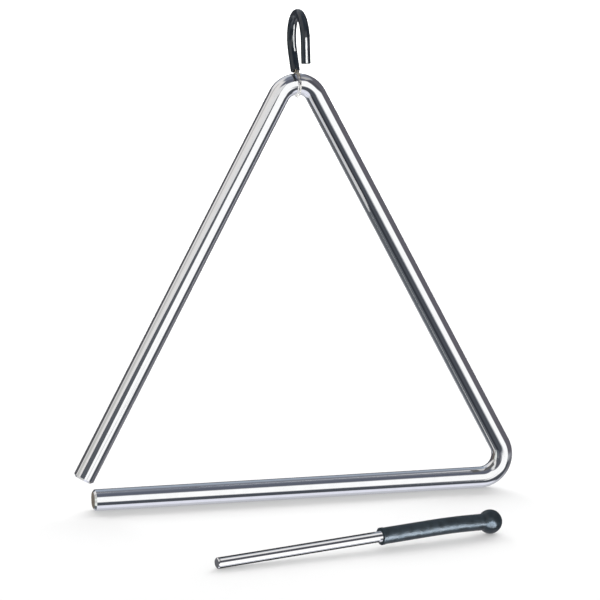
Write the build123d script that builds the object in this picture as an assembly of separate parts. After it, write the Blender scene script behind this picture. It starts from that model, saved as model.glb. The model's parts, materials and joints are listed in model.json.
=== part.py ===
from build123d import *
import os
from math import asin, atan2, cos, degrees, hypot, radians, sin, sqrt

# A hanging triangle with its hook, line loop and beater, in millimetres.
# The origin is the inside top of the hook, where it sits on a rail that runs along X.
# +X runs along the triangle's base towards its closed corner, +Y away from the player, +Z up.

# Triangle bar: solid steel, bent twice, with one corner left open.
# The sides are measured between the points where the bar's centre lines meet.
bar_d = 9.525
leg_side = 220.2
base_side = 207.5
apex_bend_r = 9.7
corner_bend_r = 10.3
leg_setback = 10.8
base_setback = 9.6
bar_chamfer = 0.9

# Hook: a steel core in a vinyl sleeve, both along one centre line
sleeve_d = 4.2
sleeve_edge_r = 0.35
wire_d = 2.5
wire_clearance = 0.05
wire_recess = 0.7
hook_r = 11.65
stem_length = 10.0
stem_lean = 29.6
leg_length = 10.5
leg_flare = 6.0

# Line loop: two strands out of the sleeve's mouth, then once round the bar
line_d = 1.2
strand_gap = 0.06
strand_clearance = 0.05
strand_depth = 6.0
strand_end_gap = 0.3
loop_clearance = 0.15
mouth_gap = 1.4

# Beater: a plated rod pushed into a rubber grip with a ball end
rod_d = 4.7625
rod_exposed = 79.0
rod_in_grip = 25.0
rod_chamfer = 0.35
rod_clearance = 0.03
rod_end_gap = 0.2
grip_d = 7.2
grip_length = 54.8
lip_height = 0.2
lip_length = 1.4
lip_edge_r = 0.15
ball_d = 10.6
ball_droop = 1.35
ball_blend_r = 0.6
dimple_d = 4.0
dimple_depth = 0.6
dimple_azimuth = -110.0
dimple_elevation = -6.0

# Where the beater lies: its ball, seen from the hook, and its heading from tip to ball
beater_x = 62.8
beater_y = -86.2
beater_heading = 13.5

# Sizes that follow from the ones above
bar_r = bar_d / 2
sleeve_r = sleeve_d / 2
wire_r = wire_d / 2
line_r = line_d / 2
strand_x = line_r + strand_gap / 2
rod_r = rod_d / 2
rod_length = rod_exposed + rod_in_grip
grip_r = grip_d / 2
ball_r = ball_d / 2
ball_reach = rod_exposed + grip_length
lean = radians(stem_lean)
flare = radians(leg_flare)

# Hook centre line, as (y, z) places in the plane x = 0
hook_centre = Vector(0, sleeve_r - hook_r)
stem_up = Vector(sin(lean), cos(lean))
leg_down = Vector(-sin(flare), -cos(flare))
stem_top = hook_centre + Vector(cos(lean), -sin(lean)) * hook_r
crown = hook_centre + Vector(0, hook_r)
leg_top = hook_centre + Vector(-cos(flare), sin(flare)) * hook_r
mouth = stem_top - stem_up * stem_length
leg_end = leg_top + leg_down * leg_length

# The bar turns in its loop about this point, on the line of the stem
pivot = mouth - stem_up * (bar_r + mouth_gap)
bar_y = pivot.X
pivot_z = pivot.Y

# Corners of the triangle's centre line, as (x, z) places in the plane y = bar_y
half_apex = asin(base_side / 2 / leg_side)
leg_up = Vector(sin(half_apex), cos(half_apex))
apex = Vector(0, pivot_z + apex_bend_r / sin(half_apex) - apex_bend_r)
open_corner = apex - leg_up * leg_side
closed_corner = open_corner + Vector(base_side, 0)
leg_tip = open_corner + leg_up * leg_setback
base_tip = open_corner + Vector(base_setback, 0)
floor_z = open_corner.Y - bar_r

triangle_plane = Plane.XZ.offset(-bar_y)
hook_plane = Plane.YZ
loop_plane = Plane((0, bar_y, pivot_z), x_dir=(0, cos(lean), -sin(lean)), z_dir=(1, 0, 0))
upright = (Align.CENTER, Align.CENTER, Align.MIN)


def swept_round(path, radius):
    """A round bar of one radius along a path."""
    return sweep(Plane(path @ 0, z_dir=path % 0) * Circle(radius), path=path)


def flat_rims(solid):
    """The edges round a solid's flat ends."""
    ends = solid.faces().filter_by(GeomType.PLANE)
    return [edge for face in ends for edge in face.edges()]


def triangle_bar():
    """The bent bar, with both cut ends chamfered."""
    radii = (apex_bend_r, corner_bend_r)
    bends = FilletPolyline(leg_tip, apex, closed_corner, base_tip, radius=radii)
    bar = swept_round(triangle_plane * bends, bar_r)
    return chamfer(flat_rims(bar), bar_chamfer)


def hook_path(stem_trim, leg_trim):
    """The hook's centre line, with its two ends drawn in by these lengths."""
    stem = Line(mouth + stem_up * stem_trim, stem_top)
    bow = ThreePointArc(stem_top, crown, leg_top)
    leg = Line(leg_top, leg_end - leg_down * leg_trim)
    return hook_plane * (stem + bow + leg)


def hook_sleeve():
    """The vinyl tube, rounded at both ends and bored for the core and for the two strands."""
    path = hook_path(0, 0)
    tube = swept_round(path, sleeve_r)
    tube = fillet(flat_rims(tube), sleeve_edge_r)
    core_bore = swept_round(hook_path(strand_depth, 0), wire_r + wire_clearance)
    strand_bore_r = line_r + strand_x + strand_clearance
    strand_bore = Cylinder(strand_bore_r, strand_depth + strand_end_gap, align=upright)
    return tube - core_bore - Plane(path @ 0, z_dir=path % 0) * strand_bore


def hook_wire():
    """The steel core, from the strands' upper ends to just inside the sleeve's free end."""
    return swept_round(hook_path(strand_depth + strand_end_gap, wire_recess), wire_r)


def nylon_loop():
    """One line: down from the sleeve, round the bar and up again beside itself."""
    mouth_y = bar_r + mouth_gap
    ring_r = bar_r + loop_clearance + line_r
    spread_r = (strand_x**2 + mouth_y**2 - ring_r**2) / (ring_r - strand_x) / 2
    meet = Vector(strand_x + spread_r, mouth_y) * (ring_r / (ring_r + spread_r))
    strand = Line((strand_x, mouth_y + strand_depth), (strand_x, mouth_y))
    spread = TangentArc((strand_x, mouth_y), meet, tangent=(0, -1))
    ring = ThreePointArc(meet, (0, -ring_r), (-meet.X, meet.Y))
    half = strand + spread
    return swept_round(loop_plane * (half + ring + mirror(half, about=Plane.YZ)), line_r)


def beater_place():
    """Lays the beater on the floor, on its rod's tip and its ball."""
    rise = rod_r - ball_droop
    tilt = degrees(asin(ball_r / hypot(ball_reach, rise)) - atan2(rise, ball_reach))
    ball = Pos(beater_x, beater_y, floor_z + ball_r)
    turn = Rot(0, 0, beater_heading) * Rot(0, -tilt, 0)
    return ball * turn * Pos(-ball_reach, 0, ball_droop)


def along_x(start, radius, length):
    """A cylinder along X from this place on it."""
    return Pos(start, 0, 0) * Rot(0, 90, 0) * Cylinder(radius, length, align=upright)


def beater_rod():
    """The striking rod, along X from its tip at the origin."""
    rod = along_x(0, rod_r, rod_length)
    return chamfer(flat_rims(rod), rod_chamfer)


def dimple():
    """A shallow dish for the ball, as a round cutter set against a ball at the origin."""
    edge_depth = ball_r - sqrt(ball_r**2 - (dimple_d / 2) ** 2)
    dish_depth = dimple_depth - edge_depth
    dish_r = ((dimple_d / 2) ** 2 + dish_depth**2) / (2 * dish_depth)
    turn = Rot(0, 0, dimple_azimuth) * Rot(0, -dimple_elevation, 0)
    return turn * Pos(ball_r - dimple_depth + dish_r, 0, 0) * Sphere(dish_r)


def beater_grip():
    """The rubber grip: straight over the rod, then drooping a little to its dimpled ball."""
    straight = Line((rod_exposed, 0), (rod_length, 0))
    droop = TangentArc((rod_length, 0), (ball_reach, -ball_droop), tangent=(1, 0))
    ball_at = Vector(ball_reach, 0, -ball_droop)
    grip = swept_round(Plane.XZ * (straight + droop), grip_r) + Pos(ball_at) * Sphere(ball_r)
    necks = [edge for edge in grip.edges() if 0 < (edge.center() - ball_at).length < ball_r]
    grip = fillet(necks, ball_blend_r)
    lip = along_x(rod_exposed, grip_r + lip_height, lip_length)
    lip = fillet(flat_rims(lip), lip_edge_r)
    bore = along_x(rod_exposed, rod_r + rod_clearance, rod_in_grip + rod_end_gap)
    return grip + lip - bore - Pos(ball_at) * dimple()


os.makedirs("parts", exist_ok=True)
lay = beater_place()
nodes = {
    "triangle_bar": triangle_bar(),
    "hook_sleeve": hook_sleeve(),
    "hook_wire": hook_wire(),
    "nylon_loop": nylon_loop(),
    "beater_rod": lay * beater_rod(),
    "beater_grip": lay * beater_grip(),
}
for name, shape in nodes.items():
    export_step(shape, f"parts/{name}.step")
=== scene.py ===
"""Dresses a hanging triangle: its bent plated bar, sleeved hook, line loop and beater, in a white studio.

Lengths are in metres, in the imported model's own frame: the origin is the inside top of the hook,
+X runs along the triangle's base towards its closed corner, +Y away from the player and +Z up.
"""

import json
from collections import namedtuple
from math import asin, atan, atan2, ceil, cos, pi, radians, sin, tan

import bmesh
import bpy
from bpy.props import FloatProperty, FloatVectorProperty, PointerProperty
from mathutils import Matrix, Vector


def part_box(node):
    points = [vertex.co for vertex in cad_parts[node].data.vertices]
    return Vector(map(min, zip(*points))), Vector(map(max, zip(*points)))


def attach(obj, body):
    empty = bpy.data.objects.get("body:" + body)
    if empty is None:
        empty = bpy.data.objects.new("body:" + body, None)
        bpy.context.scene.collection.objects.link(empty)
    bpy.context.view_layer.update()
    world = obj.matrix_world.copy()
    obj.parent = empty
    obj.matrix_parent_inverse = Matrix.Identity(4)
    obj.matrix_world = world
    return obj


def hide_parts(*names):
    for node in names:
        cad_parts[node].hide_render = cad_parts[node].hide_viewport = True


bl_info = {
    "name": "Hanging triangle",
    "version": (1, 0, 0),
    "blender": (4, 5, 0),
    "location": "View3D > Sidebar > Triangle",
    "description": "Builds a plated triangle with its hook, line loop and beater, and a studio round them",
    "category": "Object",
}

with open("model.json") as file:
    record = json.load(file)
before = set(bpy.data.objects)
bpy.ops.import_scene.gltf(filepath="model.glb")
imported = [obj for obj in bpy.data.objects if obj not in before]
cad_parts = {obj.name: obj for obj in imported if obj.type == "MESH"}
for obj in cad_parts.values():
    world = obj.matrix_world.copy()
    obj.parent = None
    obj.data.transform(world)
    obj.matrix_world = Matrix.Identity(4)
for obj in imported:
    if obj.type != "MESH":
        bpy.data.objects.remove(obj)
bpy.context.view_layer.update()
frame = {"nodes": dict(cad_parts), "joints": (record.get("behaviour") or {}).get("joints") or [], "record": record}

joints = {joint["name"]: joint for joint in frame["joints"]}
mounts = {mount["name"]: mount for mount in frame["record"]["mounts"]}
pivot = Vector(joints["triangle_swing"]["pos_m"])
floor_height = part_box("triangle_bar")[0].z

# How finely the pieces are meshed
TURN_STEP = radians(4)
RUN_STEP = 0.005
BALL_STEP = radians(4)
CORNER_STEPS = 4
BAR_SIDES = 64
LINE_SIDES = 24
GRIP_SIDES = 96
SHARP_ANGLE = radians(38)


# Settings

def length(name, default, description):
    """A length that a user can change."""
    return FloatProperty(name=name, description=description, default=default, unit="LENGTH", precision=5)


def angle(name, degrees, description):
    """An angle that a user can change."""
    return FloatProperty(name=name, description=description, default=radians(degrees), subtype="ANGLE")


def colour(name, default, description):
    """A colour that a user can change."""
    return FloatVectorProperty(
        name=name, description=description, default=default, subtype="COLOR", size=3, min=0, max=1
    )


class BarSettings(bpy.types.PropertyGroup):
    """The bent bar; its sides are measured between the points where its centre lines meet."""

    thickness: length("Thickness", 0.009525, "Diameter of the bar")
    leg_side: length("Leg side", 0.2202, "Length of each leg, corner to corner")
    base_side: length("Base side", 0.2075, "Length of the base, corner to corner")
    apex_bend: length("Apex bend", 0.0097, "Radius of the centre line in the upper bend")
    corner_bend: length("Corner bend", 0.0103, "Radius of the centre line in the lower bend")
    leg_setback: length("Leg setback", 0.0108, "How far the leg stops short of the open corner")
    base_setback: length("Base setback", 0.0096, "How far the base stops short of the open corner")
    rim: length("Rim", 0.0009, "Chamfer round both cut ends")
    plating: colour("Plating", (0.94, 0.945, 0.955), "Colour of the chrome plate")
    cut_steel: colour("Cut steel", (0.36, 0.31, 0.25), "Colour of the bare cut faces")


class HookSettings(bpy.types.PropertyGroup):
    """The hook: a vinyl tube over a steel core."""

    thickness: length("Thickness", 0.0042, "Outside diameter of the sleeve")
    bore: length("Bore", 0.0026, "Inside diameter of the sleeve")
    edge: length("Edge", 0.00035, "Rounding of the sleeve's cut ends")
    bow_radius: length("Bow radius", 0.01165, "Radius of the bow's centre line")
    stem_length: length("Stem length", 0.0100, "Straight run from the mouth to the bow")
    leg_length: length("Leg length", 0.0105, "Straight run from the bow to the free end")
    stem_lean: angle("Stem lean", 29.6, "How far the stem leans away from upright")
    leg_flare: angle("Leg flare", 6.0, "How far the free leg opens outwards")
    vinyl: colour("Vinyl", (0.013, 0.019, 0.027), "Colour of the sleeve")
    steel: colour("Steel", (0.50, 0.50, 0.51), "Colour of the bare core")


class LoopSettings(bpy.types.PropertyGroup):
    """The line: two strands out of the sleeve's mouth, then once round the bar."""

    thickness: length("Thickness", 0.0012, "Diameter of the line")
    strand_gap: length("Strand gap", 0.00006, "Gap between the two strands")
    strand_depth: length("Strand depth", 0.0060, "How far the strands reach into the sleeve")
    clearance: length("Clearance", 0.00015, "Gap between the line and the bar")
    mouth_gap: length("Mouth gap", 0.0014, "From the bar's surface to the sleeve's mouth")
    tint: colour("Tint", (0.98, 0.97, 0.95), "Colour of the line")
    # The tan that tints the line over the bar's top
    stain: colour("Stain", (0.72, 0.64, 0.50), "Colour of the line over the bar")


class BeaterSettings(bpy.types.PropertyGroup):
    """The beater: a plated rod pushed into a rubber grip with a ball end."""

    rod_thickness: length("Rod thickness", 0.0047625, "Diameter of the rod")
    rod_exposed: length("Rod exposed", 0.0790, "Rod outside the grip")
    rod_in_grip: length("Rod in grip", 0.0250, "Rod inside the grip")
    rod_chamfer: length("Rod chamfer", 0.00035, "Chamfer round the rod's ends")
    bore_clearance: length("Bore clearance", 0.00003, "Gap between the rod and the grip's bore")
    bore_spare: length("Bore spare", 0.0002, "Bore past the rod's inner end")
    grip_thickness: length("Grip thickness", 0.0072, "Diameter of the grip")
    grip_length: length("Grip length", 0.0548, "From the grip's mouth to the ball's middle")
    lip_height: length("Lip height", 0.0002, "How far the lip at the mouth stands proud")
    lip_length: length("Lip length", 0.0014, "Length of the lip")
    lip_edge: length("Lip edge", 0.00015, "Rounding of the lip")
    ball_thickness: length("Ball thickness", 0.0106, "Diameter of the ball")
    ball_droop: length("Ball droop", 0.00135, "How far the ball hangs below the rod's line")
    neck_blend: length("Neck blend", 0.0004, "Rounding between grip and ball")
    dimple_thickness: length("Dimple", 0.0040, "Diameter of the dimple in the ball")
    dimple_depth: length("Dimple depth", 0.0006, "Depth of the dimple")
    dimple_turn: angle("Dimple turn", -110.0, "Where the dimple is, round the upright line")
    dimple_rise: angle("Dimple rise", -6.0, "How far the dimple points upwards")
    rubber: colour("Rubber", (0.018, 0.030, 0.039), "Colour of the grip")


class StudioSettings(bpy.types.PropertyGroup):
    """The camera, the floor and the light."""

    view_turn: angle("View turn", -15.214, "Camera's bearing, from straight in front")
    view_rise: angle("View rise", 10.0, "Camera's height above the horizon")
    view_distance: length("View distance", 1.79029, "Camera to the point that it looks at")
    view_across: length("View across", 0.00133, "Point looked at, along the base")
    view_height: length("View height", 0.09078, "Point looked at, above the floor")
    floor_colour: colour("Floor", (0.47, 0.47, 0.47), "Colour of the floor under the back lamp")


class TriangleSettings(bpy.types.PropertyGroup):
    """All sizes and colours."""

    bar: PointerProperty(type=BarSettings)
    hook: PointerProperty(type=HookSettings)
    loop: PointerProperty(type=LoopSettings)
    beater: PointerProperty(type=BeaterSettings)
    studio: PointerProperty(type=StudioSettings)


# Bent lines and the round pieces that follow them

# A ring of a round piece: how far along its line, how wide, and the finish of the faces before it
Ring = namedtuple("Ring", "distance radius finish", defaults=(0,))


def run(distance):
    """A straight stretch of a line, as its length and curvature."""
    return distance, 0.0


def turn(radius, angle_left):
    """A round stretch of a line, as its length and curvature; a positive angle turns towards Y."""
    return radius * abs(angle_left), (1 if angle_left > 0 else -1) / radius


def step(distance, curve):
    """The move along a stretch of this length and curvature."""
    if not curve:
        return Matrix.Translation((distance, 0, 0))
    turned_by = distance * curve
    ahead = Vector((sin(turned_by), 1 - cos(turned_by), 0)) / curve
    return Matrix.Translation(ahead) @ Matrix.Rotation(turned_by, 4, "Z")


class BentLine:
    """A flat line of straight and round stretches, from its place's origin along X, turning towards Y."""

    def __init__(self, place, moves):
        self.place = place
        self.moves = moves
        self.length = sum(distance for distance, curve in moves)

    def at(self, distance):
        """The frame there: X along the line, Z square to its plane."""
        spot = self.place
        for stretch, curve in self.moves:
            part = min(distance, stretch)
            spot = spot @ step(part, curve)
            distance -= part
        return spot @ step(distance, 0)

    def marks(self, start, end):
        """Distances from start to end, close together in the turns."""
        found = [start]
        passed = 0
        for stretch, curve in self.moves:
            pieces = ceil(max(abs(stretch * curve) / TURN_STEP, stretch / RUN_STEP))
            found += [passed + stretch * k / pieces for k in range(pieces + 1)]
            passed += stretch
        near = RUN_STEP / 100
        inside = [mark for mark in found if start + near < mark < end - near]
        kept = [mark for mark, before in zip(inside, [start, *inside]) if mark - before > near]
        return [start, *kept, end]


def place_of(origin, ahead, left):
    """The matrix with this origin whose X is ahead and whose Y is left."""
    ahead, left = Vector(ahead).normalized(), Vector(left).normalized()
    return Matrix.LocRotScale(origin, Matrix((ahead, left, ahead.cross(left))).transposed(), None)


def join_rings(mesh, near, far, finish):
    """Faces between two rings, either of which may be a single point."""
    count = max(len(near), len(far))
    for k in range(count):
        after = (k + 1) % count
        corners = [near[k % len(near)], near[after % len(near)], far[after % len(far)], far[k % len(far)]]
        face = mesh.faces.new(dict.fromkeys(corners))
        face.material_index = finish
        face.smooth = True


def round_piece(name, line, rings, sides, closed=False):
    """A new object whose skin runs through rings along a line.

    A ring's finish is that of the faces before it, and a ring without radius is a single point.
    """
    mesh = bmesh.new()
    angles = [2 * pi * k / sides for k in range(sides)]
    loops = []
    for ring in rings:
        spot = line.at(ring.distance)
        around = angles if ring.radius else [0]
        spokes = [Vector((0, ring.radius * cos(a), ring.radius * sin(a))) for a in around]
        loops.append([mesh.verts.new(spot @ spoke) for spoke in spokes])
    pairs = list(zip(loops, loops[1:], rings[1:]))
    if closed:
        pairs.append((loops[-1], loops[0], rings[0]))
    for near, far, ring in pairs:
        join_rings(mesh, near, far, ring.finish)
    data = bpy.data.meshes.new(name)
    mesh.to_mesh(data)
    mesh.free()
    data.set_sharp_from_angle(angle=SHARP_ANGLE)
    piece = bpy.data.objects.new(name, data)
    bpy.context.scene.collection.objects.link(piece)
    return piece


def seat(piece, body, node, materials):
    """Gives a piece its finishes and its body, and lets it stand for its CAD node."""
    for material in materials:
        piece.data.materials.append(material)
    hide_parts(node)
    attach(piece, body)


def solid_rod_rings(line, radius, chamfer):
    """A solid round rod with chamfered rims; its cut faces take the second finish."""
    face = radius - chamfer
    end = line.length
    start_face = [Ring(0, 0, 1), Ring(0, face / 2, 1), Ring(0, face, 1)]
    wall = [Ring(mark, radius) for mark in line.marks(chamfer, end - chamfer)]
    end_face = [Ring(end, face), Ring(end, face / 2, 1), Ring(end, 0, 1)]
    return start_face + wall + end_face


def corner_round(edge):
    """Steps round a quarter circle, as (inwards along the line, inwards across it)."""
    angles = [pi / 2 * k / CORNER_STEPS for k in range(CORNER_STEPS + 1)]
    return [(edge * (1 - sin(a)), edge * (1 - cos(a))) for a in reversed(angles)]


def eased_larger(a, b, blend):
    """The larger of two sizes, rounded off where they cross."""
    near = max(blend - abs(a - b), 0) / blend
    return max(a, b) + near**2 * blend / 4


# Shader nodes

NOISE_MIDDLE = 0.5

# A mix node has sockets for every kind of value; these are its share, its two colours and its result
MIX_SHARE = 0
MIX_PLAIN = 6
MIX_CHANGED = 7
MIX_RESULT = 2


def add(tree, kind, inputs=(), **settings):
    """A new node with these settings; an input takes a value or another node's output."""
    made = tree.nodes.new(kind)
    for key, value in settings.items():
        setattr(made, key, value)
    for key, value in dict(inputs).items():
        if isinstance(value, bpy.types.NodeSocket):
            tree.links.new(value, made.inputs[key])
        else:
            made.inputs[key].default_value = value
    return made


def maths(tree, operation, *values):
    """A sum with one to three values, as the node's output."""
    return add(tree, "ShaderNodeMath", dict(enumerate(values)), operation=operation).outputs[0]


def spread(tree, value, low, high, to_low, to_high):
    """A value's share between low and high, eased, brought to a new range."""
    inputs = {"Value": value, "From Min": low, "From Max": high, "To Min": to_low, "To Max": to_high}
    return add(tree, "ShaderNodeMapRange", inputs, interpolation_type="SMOOTHSTEP").outputs["Result"]


def between(tree, share, low, high):
    """A value that goes from low to high with a share, eased."""
    return spread(tree, share, 0.0, 1.0, low, high)


def opaque(rgb):
    """A colour as a socket takes it; another node's output stays as it is."""
    return rgb if isinstance(rgb, bpy.types.NodeSocket) else (*rgb, 1)


def mix_colour(tree, share, plain, changed):
    """A colour that goes from plain to changed with a share; either may be another node's output."""
    inputs = {MIX_SHARE: share, MIX_PLAIN: opaque(plain), MIX_CHANGED: opaque(changed)}
    return add(tree, "ShaderNodeMix", inputs, data_type="RGBA").outputs[MIX_RESULT]


def new_group(name, inputs, outputs):
    """An empty shader group with these float sockets, and its two end nodes."""
    group = bpy.data.node_groups.new(name, "ShaderNodeTree")
    for socket, default in inputs.items():
        made = group.interface.new_socket(socket, in_out="INPUT", socket_type="NodeSocketFloat")
        made.default_value = default
    for socket in outputs:
        group.interface.new_socket(socket, in_out="OUTPUT", socket_type="NodeSocketFloat")
    return group, group.nodes.new("NodeGroupInput"), group.nodes.new("NodeGroupOutput")


def group_named(name, build):
    """A node group that is built once."""
    return bpy.data.node_groups.get(name) or build(name)


def build_mottle(name):
    """Cloudy variation: a share from 0 to 1 that changes over the surface."""
    group, given, result = new_group(name, {"Size": 0.002, "Contrast": 0.3}, ["Share"])
    places = add(group, "ShaderNodeTexCoord").outputs["Object"]
    scale = maths(group, "DIVIDE", 1.0, given.outputs["Size"])
    noise = add(group, "ShaderNodeTexNoise", {"Vector": places, "Scale": scale, "Detail": 4.0}).outputs[0]
    low = maths(group, "SUBTRACT", NOISE_MIDDLE, given.outputs["Contrast"])
    high = maths(group, "ADD", NOISE_MIDDLE, given.outputs["Contrast"])
    group.links.new(spread(group, noise, low, high, 0.0, 1.0), result.inputs["Share"])
    return group


def build_marks(name):
    """Fine lines left by a tool: a height that varies along the object's Y, drawn out along X and Z."""
    group, given, result = new_group(name, {"Spacing": 0.0003, "Stretch": 20.0}, ["Height"])
    places = add(group, "ShaderNodeTexCoord").outputs["Object"]
    place = add(group, "ShaderNodeSeparateXYZ", {0: places}).outputs
    drawn_x = maths(group, "DIVIDE", place["X"], given.outputs["Stretch"])
    drawn_z = maths(group, "DIVIDE", place["Z"], given.outputs["Stretch"])
    vector = add(group, "ShaderNodeCombineXYZ", {0: drawn_x, 1: place["Y"], 2: drawn_z}).outputs[0]
    scale = maths(group, "DIVIDE", 1.0, given.outputs["Spacing"])
    noise = add(group, "ShaderNodeTexNoise", {"Vector": vector, "Scale": scale, "Detail": 3.0}).outputs[0]
    group.links.new(noise, result.inputs["Height"])
    return group


def use_group(tree, name, build, **inputs):
    """A group placed in a tree with its own values, as its output."""
    return add(tree, "ShaderNodeGroup", inputs, node_tree=group_named(name, build)).outputs[0]


def mottle(tree, size, contrast):
    """A share that varies over the surface in clouds of this size."""
    return use_group(tree, "cloudy mottle", build_mottle, Size=size, Contrast=contrast)


def marks(tree, spacing, stretch):
    """The height of tool marks this far apart, each drawn out so many times."""
    return use_group(tree, "tool marks", build_marks, Spacing=spacing, Stretch=stretch)


def new_material(name):
    """A new material, its nodes and its shader."""
    material = bpy.data.materials.new(name)
    material.use_nodes = True
    return material, material.node_tree, material.node_tree.nodes["Principled BSDF"]


def set_bump(tree, shader, height, depth):
    """Raises the surface by a height's share of this depth."""
    bump = add(tree, "ShaderNodeBump", {"Height": height, "Strength": 1.0, "Distance": depth})
    tree.links.new(bump.outputs[0], shader.inputs["Normal"])


def shade(rgb, factor):
    """A colour made lighter or darker."""
    return tuple(min(1.0, part * factor) for part in rgb)


# Finishes

# How far below the bar's top the line's tan tint fades out
TOP_TINT_FADE = 0.0015

# How small the plating's specks are drawn and how much rougher they are
SPECK_POWER = 6.0
SPECK_ROUGHNESS = 0.04

# How much rougher the rubber's grain is, and how much deeper than the grain its worn places are
GRAIN_ROUGHNESS = 0.06
WORN_DEPTH = 3.0


def plated_steel(name, plating):
    """Bright chrome plate: slightly wavy, with a faint haze and small dull specks."""
    material, tree, shader = new_material(name)
    shader.inputs["Metallic"].default_value = 1.0
    haze = mottle(tree, size=0.004, contrast=0.25)
    specks = maths(tree, "POWER", mottle(tree, size=0.0007, contrast=0.08), SPECK_POWER)
    dulled = maths(tree, "MULTIPLY", specks, SPECK_ROUGHNESS)
    roughness = maths(tree, "ADD", between(tree, haze, 0.03, 0.06), dulled)
    tree.links.new(roughness, shader.inputs["Roughness"])
    tree.links.new(mix_colour(tree, haze, plating, shade(plating, 0.96)), shader.inputs["Base Color"])
    set_bump(tree, shader, mottle(tree, size=0.014, contrast=0.5), depth=0.00002)
    return material


def sawn_steel(name, steel):
    """Bare steel, sawn off and a little stained."""
    material, tree, shader = new_material(name)
    shader.inputs["Metallic"].default_value = 0.3
    stain = mottle(tree, size=0.0016, contrast=0.3)
    stained = mix_colour(tree, stain, shade(steel, 1.25), shade(steel, 0.7))
    tree.links.new(stained, shader.inputs["Base Color"])
    tree.links.new(between(tree, stain, 0.38, 0.55), shader.inputs["Roughness"])
    set_bump(tree, shader, marks(tree, spacing=0.0004, stretch=12.0), depth=0.00006)
    return material


def black_vinyl(name, vinyl):
    """Shiny vinyl tube with faint drawn ripples."""
    material, tree, shader = new_material(name)
    cloud = mottle(tree, size=0.003, contrast=0.3)
    tree.links.new(mix_colour(tree, cloud, vinyl, shade(vinyl, 1.8)), shader.inputs["Base Color"])
    tree.links.new(between(tree, cloud, 0.07, 0.15), shader.inputs["Roughness"])
    shader.inputs["Specular IOR Level"].default_value = 0.6
    set_bump(tree, shader, mottle(tree, size=0.0012, contrast=0.5), depth=0.00003)
    return material


def clear_line(name, tint, stain, top):
    """Clear line, tinted tan from a little under this height up, where it is doubled."""
    material, tree, shader = new_material(name)
    cloud = mottle(tree, size=0.001, contrast=0.3)
    places = add(tree, "ShaderNodeTexCoord").outputs["Object"]
    height = add(tree, "ShaderNodeSeparateXYZ", {0: places}).outputs["Z"]
    stained = spread(tree, height, top - TOP_TINT_FADE, top, 0.0, 1.0)
    clouded = mix_colour(tree, cloud, tint, shade(tint, 0.92))
    tree.links.new(mix_colour(tree, stained, clouded, stain), shader.inputs["Base Color"])
    tree.links.new(between(tree, cloud, 0.02, 0.07), shader.inputs["Roughness"])
    shader.inputs["Transmission Weight"].default_value = 1.0
    shader.inputs["IOR"].default_value = 1.53
    return material


def drawn_steel(name, steel):
    """Bare drawn wire."""
    material, tree, shader = new_material(name)
    shader.inputs["Metallic"].default_value = 1.0
    cloud = mottle(tree, size=0.0008, contrast=0.3)
    tree.links.new(mix_colour(tree, cloud, steel, shade(steel, 0.7)), shader.inputs["Base Color"])
    tree.links.new(between(tree, cloud, 0.28, 0.42), shader.inputs["Roughness"])
    set_bump(tree, shader, marks(tree, spacing=0.0002, stretch=30.0), depth=0.00002)
    return material


def moulded_rubber(name, rubber):
    """Satin rubber, mottled where hands have polished it, with a fine moulded skin."""
    material, tree, shader = new_material(name)
    worn = mottle(tree, size=0.0035, contrast=0.22)
    grain = mottle(tree, size=0.0007, contrast=0.35)
    tree.links.new(mix_colour(tree, worn, rubber, shade(rubber, 1.7)), shader.inputs["Base Color"])
    satin = between(tree, worn, 0.29, 0.43)
    roughness = maths(tree, "ADD", satin, maths(tree, "MULTIPLY", grain, GRAIN_ROUGHNESS))
    tree.links.new(roughness, shader.inputs["Roughness"])
    skin = maths(tree, "ADD", grain, maths(tree, "MULTIPLY", worn, WORN_DEPTH))
    set_bump(tree, shader, skin, depth=0.00005)
    return material


# Pieces

def settings_of(context):
    """All sizes and colours, kept with the scene."""
    return context.scene.triangle


class TRIANGLE_OT_bar(bpy.types.Operator):
    """Builds the bent bar with its open corner"""

    bl_idname = "triangle.bar"
    bl_label = "Bent bar"

    def execute(self, context):
        bar = settings_of(context).bar
        half_apex = asin(bar.base_side / 2 / bar.leg_side)
        corner = pi / 2 - half_apex
        leg_up = Vector((sin(half_apex), 0, cos(half_apex)))
        # The legs' centre lines meet above the top of the bend, which the bar swings about
        apex = pivot + Vector((0, 0, bar.apex_bend / sin(half_apex) - bar.apex_bend))
        leg_tip = apex - leg_up * (bar.leg_side - bar.leg_setback)
        apex_run = bar.apex_bend / tan(half_apex)
        corner_run = bar.corner_bend / tan(corner / 2)
        line = BentLine(
            place_of(leg_tip, leg_up, (cos(half_apex), 0, -sin(half_apex))),
            [
                run(bar.leg_side - bar.leg_setback - apex_run),
                turn(bar.apex_bend, pi - 2 * half_apex),
                run(bar.leg_side - apex_run - corner_run),
                turn(bar.corner_bend, pi - corner),
                run(bar.base_side - corner_run - bar.base_setback),
            ],
        )
        rings = solid_rod_rings(line, bar.thickness / 2, bar.rim)
        piece = round_piece("bent_bar", line, rings, BAR_SIDES)
        finishes = [plated_steel("bar plating", bar.plating), sawn_steel("bar cut steel", bar.cut_steel)]
        seat(piece, "triangle", "triangle_bar", finishes)
        return {"FINISHED"}


def bow_middle(hook):
    """The centre of the hook's bow, whose inside top is the frame's origin."""
    return Vector((0, 0, hook.thickness / 2 - hook.bow_radius))


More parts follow.
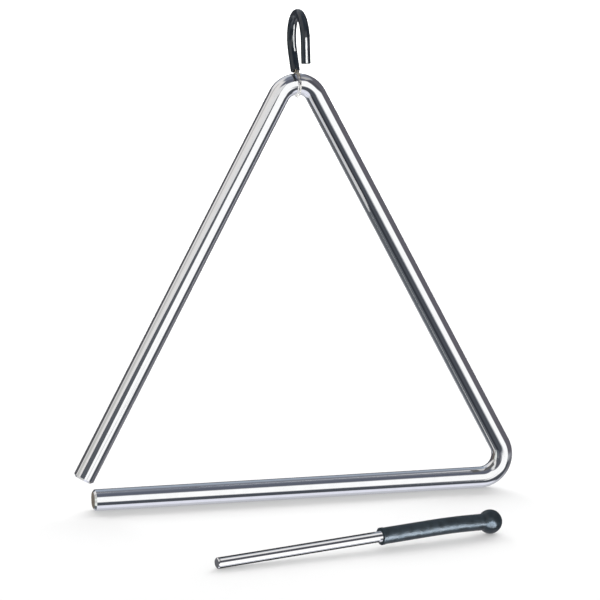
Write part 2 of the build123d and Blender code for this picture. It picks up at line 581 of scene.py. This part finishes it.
class TRIANGLE_OT_hook(bpy.types.Operator):
    """Builds the hook's sleeve and finishes its core"""

    bl_idname = "triangle.hook"
    bl_label = "Hook"

    def execute(self, context):
        hook = settings_of(context).hook
        ahead = Vector((0, sin(hook.stem_lean), cos(hook.stem_lean)))
        front = Vector((0, -cos(hook.stem_lean), sin(hook.stem_lean)))
        mouth = bow_middle(hook) - front * hook.bow_radius - ahead * hook.stem_length
        line = BentLine(
            place_of(mouth, ahead, front),
            [
                run(hook.stem_length),
                turn(hook.bow_radius, pi + hook.stem_lean - hook.leg_flare),
                run(hook.leg_length),
            ],
        )
        piece = round_piece("hook_tube", line, self.rings(line, hook), LINE_SIDES * 2, closed=True)
        seat(piece, "hanger", "hook_sleeve", [black_vinyl("hook vinyl", hook.vinyl)])
        core = frame["nodes"]["hook_wire"]
        core.data.materials[0] = drawn_steel("hook core steel", hook.steel)
        return {"FINISHED"}

    def rings(self, line, hook):
        """Up the outside from the mouth to the free end, and back down the bore."""
        outer, bore, end = hook.thickness / 2, hook.bore / 2, line.length
        rounding = corner_round(hook.edge)
        mouth_rim = [Ring(inwards, outer - across) for inwards, across in rounding]
        wall = [Ring(mark, outer) for mark in line.marks(hook.edge, end - hook.edge)[1:-1]]
        free_rim = [Ring(end - inwards, outer - across) for inwards, across in reversed(rounding)]
        inside = [Ring(mark, bore) for mark in reversed(line.marks(0, end))]
        return mouth_rim + wall + free_rim + inside


class TRIANGLE_OT_loop(bpy.types.Operator):
    """Builds the line loop that carries the bar"""

    bl_idname = "triangle.loop"
    bl_label = "Line loop"

    def execute(self, context):
        settings = settings_of(context)
        loop, hook, bar = settings.loop, settings.hook, settings.bar
        radius = loop.thickness / 2
        strand = radius + loop.strand_gap / 2
        mouth = bar.thickness / 2 + loop.mouth_gap
        ring = bar.thickness / 2 + loop.clearance + radius
        # An arc of this radius leads each strand smoothly into the ring round the bar
        flare = (strand**2 + mouth**2 - ring**2) / (ring - strand) / 2
        swing = atan2(mouth, strand + flare)
        up = Vector((0, sin(hook.stem_lean), cos(hook.stem_lean)))
        side = Vector((0, cos(hook.stem_lean), -sin(hook.stem_lean)))
        start = pivot + side * strand + up * (mouth + loop.strand_depth)
        line = BentLine(
            place_of(start, -up, side),
            [
                run(loop.strand_depth),
                turn(flare, swing),
                turn(ring, -(pi + 2 * swing)),
                turn(flare, swing),
                run(loop.strand_depth),
            ],
        )
        end = line.length
        wall = [Ring(mark, radius) for mark in line.marks(0, end)]
        rings = [Ring(0, 0), *wall, Ring(end, 0)]
        piece = round_piece("line_loop", line, rings, LINE_SIDES)
        top = pivot.z + bar.thickness / 2
        seat(piece, "hanger", "nylon_loop", [clear_line("loop line", loop.tint, loop.stain, top)])
        return {"FINISHED"}


def beater_frame(beater):
    """The rod tip's centre, and the beater's directions along its rod and upwards."""
    mount = mounts["beater_rod_end"]
    along = -Vector(mount["axis"]).normalized()
    middle = (beater.rod_chamfer + beater.rod_exposed) / 2
    tip = Vector(mount["pos_m"]) - along * middle
    up = Vector((0, 0, 1))
    return tip, along, (up - along * up.dot(along)).normalized()


class TRIANGLE_OT_rod(bpy.types.Operator):
    """Builds the beater's striking rod"""

    bl_idname = "triangle.rod"
    bl_label = "Beater rod"

    def execute(self, context):
        settings = settings_of(context)
        bar, beater = settings.bar, settings.beater
        tip, along, up = beater_frame(beater)
        line = BentLine(place_of(tip, along, -up), [run(beater.rod_exposed + beater.rod_in_grip)])
        rings = solid_rod_rings(line, beater.rod_thickness / 2, beater.rod_chamfer)
        piece = round_piece("striking_rod", line, rings, BAR_SIDES)
        plating = plated_steel("rod plating", bar.plating)
        seat(piece, "beater", "beater_rod", [plating, plating])
        # As pictured, the bar doesn't mirror the beater
        piece.visible_glossy = False
        return {"FINISHED"}


class TRIANGLE_OT_grip(bpy.types.Operator):
    """Builds the beater's rubber grip with its ball end"""

    bl_idname = "triangle.grip"
    bl_label = "Beater grip"

    def execute(self, context):
        beater = settings_of(context).beater
        tip, along, up = beater_frame(beater)
        free_run = beater.grip_length - beater.rod_in_grip
        # Past the rod's end, an arc takes the grip's line down to the ball's middle
        droop = 2 * atan(beater.ball_droop / free_run)
        droop_radius = (free_run**2 + beater.ball_droop**2) / (2 * beater.ball_droop)
        line = BentLine(
            place_of(tip + along * beater.rod_exposed, along, -up),
            [run(beater.rod_in_grip), turn(droop_radius, droop)],
        )
        piece = round_piece("rubber_grip", line, self.rings(line, beater), GRIP_SIDES)
        ball = line.at(line.length).translation
        axes = Matrix((along, up.cross(along), up)).transposed()
        raised = Vector((cos(beater.dimple_rise), 0, sin(beater.dimple_rise)))
        aim = axes @ Matrix.Rotation(beater.dimple_turn, 3, "Z") @ raised
        self.press_dimple(piece, ball, aim, beater)
        seat(piece, "beater", "beater_grip", [moulded_rubber("grip rubber", beater.rubber)])
        # As pictured, the bar doesn't mirror the beater
        piece.visible_glossy = False
        return {"FINISHED"}

    def rings(self, line, beater):
        """From the bottom of the bore, out of the mouth, over the lip and along to the ball's far end."""
        bore = beater.rod_thickness / 2 + beater.bore_clearance
        bottom = beater.rod_in_grip + beater.bore_spare
        body = beater.grip_thickness / 2
        lip = body + beater.lip_height
        ball, middle = beater.ball_thickness / 2, line.length
        rounding = corner_round(beater.lip_edge)
        inside = [Ring(bottom, 0), Ring(bottom, bore), Ring(0, bore)]
        mouth = [Ring(inwards, lip - across) for inwards, across in rounding]
        lip_end = [Ring(beater.lip_length - inwards, lip - across) for inwards, across in rounding[::-1]]
        barrel = [Ring(mark, body) for mark in line.marks(beater.lip_length, middle - ball)]
        steps = ceil(pi / BALL_STEP)
        round_end = []
        for k in range(1, steps):
            turned = pi * k / steps
            least = body if turned < pi / 2 else 0
            radius = eased_larger(least, ball * sin(turned), beater.neck_blend)
            round_end.append(Ring(middle - ball * cos(turned), radius))
        return inside + mouth + lip_end + barrel + round_end + [Ring(middle + ball, 0)]

    def press_dimple(self, piece, ball, aim, beater):
        """Presses a shallow dish with a soft rim into the ball."""
        edge = asin(beater.dimple_thickness / beater.ball_thickness)
        for vertex in piece.data.vertices:
            spoke = vertex.co - ball
            if spoke.length > beater.ball_thickness:
                continue
            share = min(1.0, spoke.angle(aim) / edge)
            vertex.co -= spoke.normalized() * beater.dimple_depth * (1 - share**2) ** 2
        piece.data.update()


# Studio

WHITE = (1.0, 1.0, 1.0)
FLAG_TINT = (0.90, 0.98, 1.12)
GRIP_STRIP_TINT = (0.79, 0.89, 1.0)

# The camera's sensor and lens, in millimetres
SENSOR_WIDTH = 36.0
LENS = 240.0

# The even light from all sides, the floor's size, and what its lamp leaves it short of white
SKY_LEVEL = 0.7
FLOOR_REACH = 8.0
FLOOR_LIFT = 0.323

# The floor's lamp: where it stands from the bar's foot, its width and height, and its level
BACK_LAMP_STAND = Vector((1.5, 3.7, 1.6))
BACK_LAMP_SIZE = (6.0, 2.75)
BACK_LAMP_LEVEL = 12.0

# What the plating mirrors where no card is
ROOM_COLOUR = (0.36, 0.37, 0.40)

Card = namedtuple("Card", "name turn turn_reach rise rise_reach soft colour")

# The cards that the plating mirrors, each over the ones before it. Turns are bearings from straight in front
# and rises are heights above the horizon, both in degrees; a reach is half a card's width or height,
# and soft is half the width of its blurred edge.
STUDIO_CARDS = [
    Card("upper back wall", 165, 60, 39, 37, 14, (0.34, 0.39, 0.465)),
    Card("ceiling", 0, 200, 84, 16, 7, (0.18, 0.20, 0.25)),
    Card("ceiling at the right", 127, 22, 60, 14, 9, (0.195, 0.205, 0.24)),
    Card("lower back wall", 190, 42, 3, 21, 5, (0.09, 0.09, 0.10)),
    Card("rear window", -159, 27, 45, 17, 3, (0.62, 0.64, 0.68)),
    Card("left wall, top", -85, 65, 47, 20, 5, (0.80, 0.78, 0.77)),
    Card("left wall", -86, 44, 22, 34, 4, (0.78, 0.76, 0.75)),
    Card("left wall panel", -101, 8, 22, 34, 3, (0.52, 0.515, 0.51)),
    Card("left wall, lower panel", -86, 9, 12, 13, 2.5, (0.56, 0.565, 0.54)),
    Card("dark card in front", -29, 17, 11, 13, 3, (0.11, 0.11, 0.13)),
    Card("ceiling over the camera", 15, 62, 56, 15.5, 5, (0.115, 0.125, 0.16)),
    Card("skylight", 70, 22, 59, 9, 2.5, (0.46, 0.45, 0.44)),
    Card("right flag", 103, 47, 18, 28, 3.5, (0.125, 0.12, 0.14)),
    Card("dark table", 30, 90, -36, 17, 3, (0.071, 0.078, 0.093)),
    Card("dark table at the right", 113, 31, -26, 14, 8, (0.15, 0.15, 0.17)),
    Card("front window", 21, 33, 11, 26, 3.5, (1.05, 1.05, 1.05)),
    Card("low window", 36, 15.5, -16.5, 12, 2.5, (1.05, 1.05, 1.05)),
    Card("upper right flag", 53, 16, 29, 17, 3, (0.085, 0.085, 0.10)),
    Card("dark table at the left", -105, 52, -40, 13, 4, (0.118, 0.13, 0.145)),
    Card("dark end of the table", -49, 13, -40, 9, 5, (0.038, 0.042, 0.052)),
    Card("back left flag", -128, 9, 6, 14, 2, (0.095, 0.10, 0.105)),
    Card("brown card at the left", -117, 14, -12, 27, 3, (0.145, 0.13, 0.115)),
    Card("pale card at the left", -85, 11, -15, 25, 3, (0.80, 0.84, 0.80)),
    Card("dark card at the left", -60, 11, -14, 21, 3, (0.115, 0.133, 0.15)),
    Card("low dark card in front", -37, 11, -10, 12, 3, (0.11, 0.11, 0.13)),
    Card("pale paper", 0, 200, -76, 23, 4, (0.80, 0.81, 0.90)),
    Card("pale paper behind", 152, 55, -58, 22, 12, (0.55, 0.56, 0.61)),
]

NearCard = namedtuple("NearCard", "name across along level tint", defaults=(WHITE,))

# Cards near the bar, as ranges across and along their plane. One lies on the floor, three stand in
# a leaning plane at the front left, and one is inside the closed corner.
FLOOR_CARD = NearCard("left sheet", (-0.30, -0.105), (-0.10, 0.02), 0.62)
FRONT_LEFT_CARDS = [
    NearCard("front left flag", (0.15, 0.90), (0.0, 0.2695), 0.108, FLAG_TINT),
    NearCard("front left flag, upper end", (0.08, 0.15), (0.19, 0.2695), 0.108, FLAG_TINT),
    NearCard("front left wall", (0.10, 0.66), (0.27, 0.60), 0.76),
]
FRONT_LEFT_DISTANCE = 0.4
FRONT_LEFT_SLOPE = 0.04
CORNER_CARD = NearCard("corner flag", (-0.0034, 0.0034), (-0.0034, 0.0034), 0.12)
CORNER_SPOT = Vector((0.091, -0.002, 0.0133))
CORNER_CARD_TURN = radians(-72)
CORNER_CARD_RISE = radians(48)
CORNER_CARD_AWAY = 0.007

# Cards behind and under the rod, the one under it a painted shadow that the rod mirrors: how far off each one is,
# its range across the rod, and how far both stop short of the grip
BEHIND_ROD = 0.0026
BEHIND_ROD_RANGE = (-0.002, 0.0095)
UNDER_ROD = 0.0025
UNDER_ROD_RANGE = (-0.0023, 0.001)
ROD_FLAG_STOP = 0.001
# How bright both dark cards are; the one under the rod is painted shadow
ROD_FLAG_AND_SHADOW_LEVEL = 0.05

HookStrip = namedtuple("HookStrip", "name side drop turn away width height")

# Strips before the hook: the side of the bow that each one shines on, -1 for the free leg and 1 for
# the stem, how far below the bow's middle, its bearing in degrees, how far off it is, and its size
HOOK_STRIPS = [
    HookStrip("leg strip", -1, 0.0027, 6, 0.0125, 0.0087, 0.0155),
    HookStrip("bow strip", 1, 0.001, 33, 0.0061, 0.0021, 0.0052),
]
HOOK_STRIP_LEVEL = 20.0

BeaterStrip = namedtuple("BeaterStrip", "name piece start end near far drop level tint")

# Strips low in front of the beater: where each one starts and ends, measured from the grip's mouth,
# how far in front its near and far edges are, and how far it lies below the rod's middle
BEATER_STRIPS = [
    BeaterStrip("rod strip", "striking_rod", -0.089, 0.0, 0.003, 0.014, 0.0022, 1.0, WHITE),
    BeaterStrip("grip strip", "rubber_grip", -0.004, 0.055, 0.006, 0.026, 0.0034, 14.0, GRIP_STRIP_TINT),
]

# The strip over the rod: its rise from the front, how far off it is, how far it lies past the rod's middle,
# and its width and level
OVER_ROD_RISE = radians(70)
OVER_ROD_AWAY = 0.008
OVER_ROD_SHIFT = 0.004
OVER_ROD_WIDTH = 0.0055
OVER_ROD_LEVEL = 0.42


def build_card_mask(name):
    """How much of a studio card shows in a direction, given by its bearing and rise."""
    names = ["Bearing", "Rise", "Turn", "Turn reach", "Height", "Height reach", "Soft"]
    group, given, result = new_group(name, dict.fromkeys(names, 0.0), ["Share"])
    apart = maths(group, "SUBTRACT", given.outputs["Bearing"], given.outputs["Turn"])
    across = maths(group, "WRAP", apart, pi, -pi)
    above = maths(group, "SUBTRACT", given.outputs["Rise"], given.outputs["Height"])
    shares = []
    for offset, reach in ((across, "Turn reach"), (above, "Height reach")):
        low = maths(group, "SUBTRACT", given.outputs[reach], given.outputs["Soft"])
        high = maths(group, "ADD", given.outputs[reach], given.outputs["Soft"])
        shares.append(spread(group, maths(group, "ABSOLUTE", offset), low, high, 1.0, 0.0))
    group.links.new(maths(group, "MULTIPLY", *shares), result.inputs["Share"])
    return group


def studio_colour(tree):
    """The studio's colour in each direction: the room, with card over card."""
    places = add(tree, "ShaderNodeTexCoord").outputs["Generated"]
    direction = add(tree, "ShaderNodeSeparateXYZ", {0: places}).outputs
    frontward = maths(tree, "MULTIPLY", direction["Y"], -1.0)
    bearing = maths(tree, "ARCTAN2", direction["X"], frontward)
    rise = maths(tree, "ARCSINE", direction["Z"])
    card_mask = group_named("studio card", build_card_mask)
    colour_now = ROOM_COLOUR
    for card in STUDIO_CARDS:
        inputs = {
            "Bearing": bearing,
            "Rise": rise,
            "Turn": radians(card.turn),
            "Turn reach": radians(card.turn_reach),
            "Height": radians(card.rise),
            "Height reach": radians(card.rise_reach),
            "Soft": radians(card.soft),
        }
        mask = add(tree, "ShaderNodeGroup", inputs, label=card.name, node_tree=card_mask)
        colour_now = mix_colour(tree, mask.outputs[0], colour_now, card.colour)
    return colour_now


def seen_rays(tree):
    """Camera rays, and mirror and see-through rays, as two shares."""
    rays = add(tree, "ShaderNodeLightPath")
    mirrored = maths(tree, "MAXIMUM", rays.outputs["Is Glossy Ray"], rays.outputs["Is Transmission Ray"])
    return rays.outputs["Is Camera Ray"], mirrored


def white_world():
    """White to the camera, the studio with its cards to mirrors, and even light to all else."""
    world = bpy.data.worlds.new("white studio")
    bpy.context.scene.world = world
    world.use_nodes = True
    tree = world.node_tree
    camera, mirrored = seen_rays(tree)
    light = mix_colour(tree, mirrored, (SKY_LEVEL,) * 3, studio_colour(tree))
    light = mix_colour(tree, camera, light, WHITE)
    tree.links.new(light, tree.nodes["Background"].inputs["Color"])


def floor_material(paper):
    """Paper under the back lamp: it takes shadows, and what it lacks of white is added where it is seen."""
    material, tree, shader = new_material("floor paper")
    shader.inputs["Base Color"].default_value = opaque(paper)
    shader.inputs["Roughness"].default_value = 0.9
    shader.inputs["Specular IOR Level"].default_value = 0.0
    camera, mirrored = seen_rays(tree)
    shader.inputs["Emission Color"].default_value = opaque(WHITE)
    seen = maths(tree, "MAXIMUM", camera, mirrored)
    tree.links.new(maths(tree, "MULTIPLY", seen, FLOOR_LIFT), shader.inputs["Emission Strength"])
    return material


def flat_sheet(name, place, across, along, material):
    """A flat sheet of stage in its place's XY plane, over these two ranges."""
    left, right = across
    near, far = along
    corners = [(left, near), (right, near), (right, far), (left, far)]
    data = bpy.data.meshes.new(name)
    data.from_pydata([place @ Vector((x, y, 0)) for x, y in corners], [], [(0, 1, 2, 3)])
    data.materials.append(material)
    sheet = bpy.data.objects.new(name, data)
    bpy.context.scene.collection.objects.link(sheet)
    return sheet


def glow_material(name, level, tint):
    """A lit card that can be seen from its front alone."""
    material = new_material(name)[0]
    tree = material.node_tree
    tree.nodes.clear()
    glow = add(tree, "ShaderNodeEmission", {"Color": opaque(tint), "Strength": level})
    clear = tree.nodes.new("ShaderNodeBsdfTransparent")
    behind = add(tree, "ShaderNodeNewGeometry").outputs["Backfacing"]
    shown = add(tree, "ShaderNodeMixShader", {0: behind, 1: glow.outputs[0], 2: clear.outputs[0]})
    output = tree.nodes.new("ShaderNodeOutputMaterial")
    tree.links.new(shown.outputs[0], output.inputs["Surface"])
    return material


def mirror_card(place, card):
    """A lit card that shows in shiny surfaces alone."""
    glow = glow_material(card.name + " glow", card.level, card.tint)
    sheet = flat_sheet(card.name, place, card.across, card.along, glow)
    sheet.visible_camera = False
    sheet.visible_diffuse = False
    sheet.visible_shadow = False
    sheet.visible_transmission = False


def aimed(origin, target):
    """The place of a lamp at origin that shines on target."""
    return Matrix.Translation(origin) @ (target - origin).to_track_quat("-Z", "Y").to_matrix().to_4x4()


def area_lamp(name, place, width, height, level):
    """A flat lamp that shines down its place's Z, as bright as a card of this level."""
    data = bpy.data.lights.new(name, "AREA")
    data.shape = "RECTANGLE"
    data.size = width
    data.size_y = height
    data.energy = level * pi * width * height
    lamp = bpy.data.objects.new(name, data)
    lamp.matrix_world = place
    lamp.visible_camera = False
    lamp.visible_transmission = False
    bpy.context.scene.collection.objects.link(lamp)
    return lamp


def light_only(lamp, lit):
    """Lets a lamp shine on one object alone; all others still cast its shadows."""
    only = bpy.data.collections.new(lamp.name + " shines on")
    only.objects.link(lit)
    lamp.light_linking.receiver_collection = only


def streak_lamp(name, place, width, height, level, piece, tint=WHITE):
    """A lamp whose mirror image alone shows, in one piece."""
    lamp = area_lamp(name, place, width, height, level)
    lamp.data.color = tint
    lamp.data.use_shadow = False
    lamp.visible_diffuse = False
    light_only(lamp, bpy.data.objects[piece])


def toward(bearing, rise):
    """The direction with this bearing from straight in front and this rise above the horizon."""
    return Vector((sin(bearing) * cos(rise), -cos(bearing) * cos(rise), sin(rise)))


def hook_lamps(hook):
    """Two strips whose streaks run down the hook's shiny sleeve, on its free leg and inside its bow."""
    for strip in HOOK_STRIPS:
        spot = bow_middle(hook) + Vector((0, strip.side * hook.bow_radius, -strip.drop))
        place = aimed(spot + toward(radians(strip.turn), 0) * strip.away, spot)
        streak_lamp(strip.name, place, strip.width, strip.height, HOOK_STRIP_LEVEL, "hook_tube")


def beater_lamps(beater):
    """A pale strip beside the rod and a bright one beside the grip, and a dim one over the rod."""
    tip, along, up = beater_frame(beater)
    front = along.cross(up)
    mouth = tip + along * beater.rod_exposed
    for strip in BEATER_STRIPS:
        middle = mouth + along * (strip.start + strip.end) / 2 + front * (strip.near + strip.far) / 2
        place = place_of(middle - up * strip.drop, along, front)
        length_along, width = strip.end - strip.start, strip.far - strip.near
        streak_lamp(strip.name, place, length_along, width, strip.level, strip.piece, strip.tint)
    over = front * cos(OVER_ROD_RISE) + up * sin(OVER_ROD_RISE)
    middle = tip + along * (beater.rod_exposed / 2 + OVER_ROD_SHIFT) + over * OVER_ROD_AWAY
    place = place_of(middle, along, over.cross(along))
    size = (beater.rod_exposed, OVER_ROD_WIDTH)
    streak_lamp("strip over the rod", place, *size, OVER_ROD_LEVEL, "striking_rod")


def rod_flag_and_painted_shadow(beater):
    """Dark cards close behind and under the rod, which draw its two edges; the one under it is painted shadow,
    standing in for the floor's shade that the rod would mirror.
    """
    tip, along, up = beater_frame(beater)
    front = along.cross(up)
    stretch = (0.0, beater.rod_exposed - ROD_FLAG_STOP)
    behind = place_of(tip - front * BEHIND_ROD, along, up)
    mirror_card(behind, NearCard("flag behind the rod", stretch, BEHIND_ROD_RANGE, ROD_FLAG_AND_SHADOW_LEVEL))
    # Painted shadow: a dark sheet under the rod that its mirror image shows where the floor's shade would be, as
    # the floor is hidden from mirrors
    under = place_of(tip - up * UNDER_ROD, along, -front)
    mirror_card(under, NearCard("painted shadow under the rod", stretch, UNDER_ROD_RANGE, ROD_FLAG_AND_SHADOW_LEVEL))


def bar_cards(foot):
    """The cards near the bar."""
    mirror_card(Matrix.Translation(foot), FLOOR_CARD)
    front_left = foot + Vector((0, -FRONT_LEFT_DISTANCE, 0))
    plane = place_of(front_left, (-1, 0, -FRONT_LEFT_SLOPE), (-FRONT_LEFT_SLOPE, 0, 1))
    for card in FRONT_LEFT_CARDS:
        mirror_card(plane, card)
    aside = toward(CORNER_CARD_TURN, CORNER_CARD_RISE)
    level = aside.cross((0, 0, 1))
    beside = foot + CORNER_SPOT + aside * CORNER_CARD_AWAY
    mirror_card(place_of(beside, level, level.cross(aside)), CORNER_CARD)


def back_lamp(foot, floor):
    """A broad low lamp far behind that lights the floor, so that soft shadows fall towards the player."""
    lamp = area_lamp("back lamp", aimed(foot + BACK_LAMP_STAND, foot), *BACK_LAMP_SIZE, BACK_LAMP_LEVEL)
    lamp.visible_glossy = False
    light_only(lamp, floor)


class TRIANGLE_OT_studio(bpy.types.Operator):
    """Builds the floor, the light and the camera"""

    bl_idname = "triangle.studio"
    bl_label = "Studio"

    def execute(self, context):
        settings = settings_of(context)
        studio = settings.studio
        context.scene.view_settings.view_transform = "Standard"
        foot = Vector((0, pivot.y, floor_height))
        reach = (-FLOOR_REACH / 2, FLOOR_REACH / 2)
        paper = floor_material(studio.floor_colour)
        floor = flat_sheet("floor", Matrix.Translation(foot), reach, reach, paper)
        floor.visible_glossy = False
        white_world()
        back_lamp(foot, floor)
        hook_lamps(settings.hook)
        beater_lamps(settings.beater)
        rod_flag_and_painted_shadow(settings.beater)
        bar_cards(foot)
        self.camera(context, studio)
        return {"FINISHED"}

    def camera(self, context, studio):
        """Stands the camera where the photograph was taken."""
        target = Vector((studio.view_across, pivot.y, floor_height + studio.view_height))
        back = toward(studio.view_turn, studio.view_rise)
        data = bpy.data.cameras.new("camera")
        data.sensor_width = SENSOR_WIDTH
        data.lens = LENS
        camera = bpy.data.objects.new("camera", data)
        camera.location = target + back * studio.view_distance
        camera.rotation_mode = "QUATERNION"
        camera.rotation_quaternion = (-back).to_track_quat("-Z", "Y")
        context.scene.collection.objects.link(camera)
        context.scene.camera = camera


class TRIANGLE_PT_pieces(bpy.types.Panel):
    """Lists the pieces in the sidebar"""

    bl_idname = "TRIANGLE_PT_pieces"
    bl_label = "Triangle"
    bl_space_type = "VIEW_3D"
    bl_region_type = "UI"
    bl_category = "Triangle"

    def draw(self, context):
        """One button for each operator."""
        for operator in PIECES:
            self.layout.operator(operator.bl_idname)


PIECES = [
    TRIANGLE_OT_bar,
    TRIANGLE_OT_hook,
    TRIANGLE_OT_loop,
    TRIANGLE_OT_rod,
    TRIANGLE_OT_grip,
    TRIANGLE_OT_studio,
]
SETTINGS = [BarSettings, HookSettings, LoopSettings, BeaterSettings, StudioSettings, TriangleSettings]
CLASSES = [*SETTINGS, *PIECES, TRIANGLE_PT_pieces]


def register():
    """Makes the classes known, and keeps the settings with the scene."""
    for cls in CLASSES:
        bpy.utils.register_class(cls)
    bpy.types.Scene.triangle = PointerProperty(type=TriangleSettings)


def unregister():
    """Takes the settings and the classes away again."""
    del bpy.types.Scene.triangle
    for cls in reversed(CLASSES):
        bpy.utils.unregister_class(cls)


def main():
    """Builds every piece and the studio."""
    register()
    bpy.ops.triangle.bar()
    bpy.ops.triangle.hook()
    bpy.ops.triangle.loop()
    bpy.ops.triangle.rod()
    bpy.ops.triangle.grip()
    bpy.ops.triangle.studio()


if __name__ == "__main__":
    main()
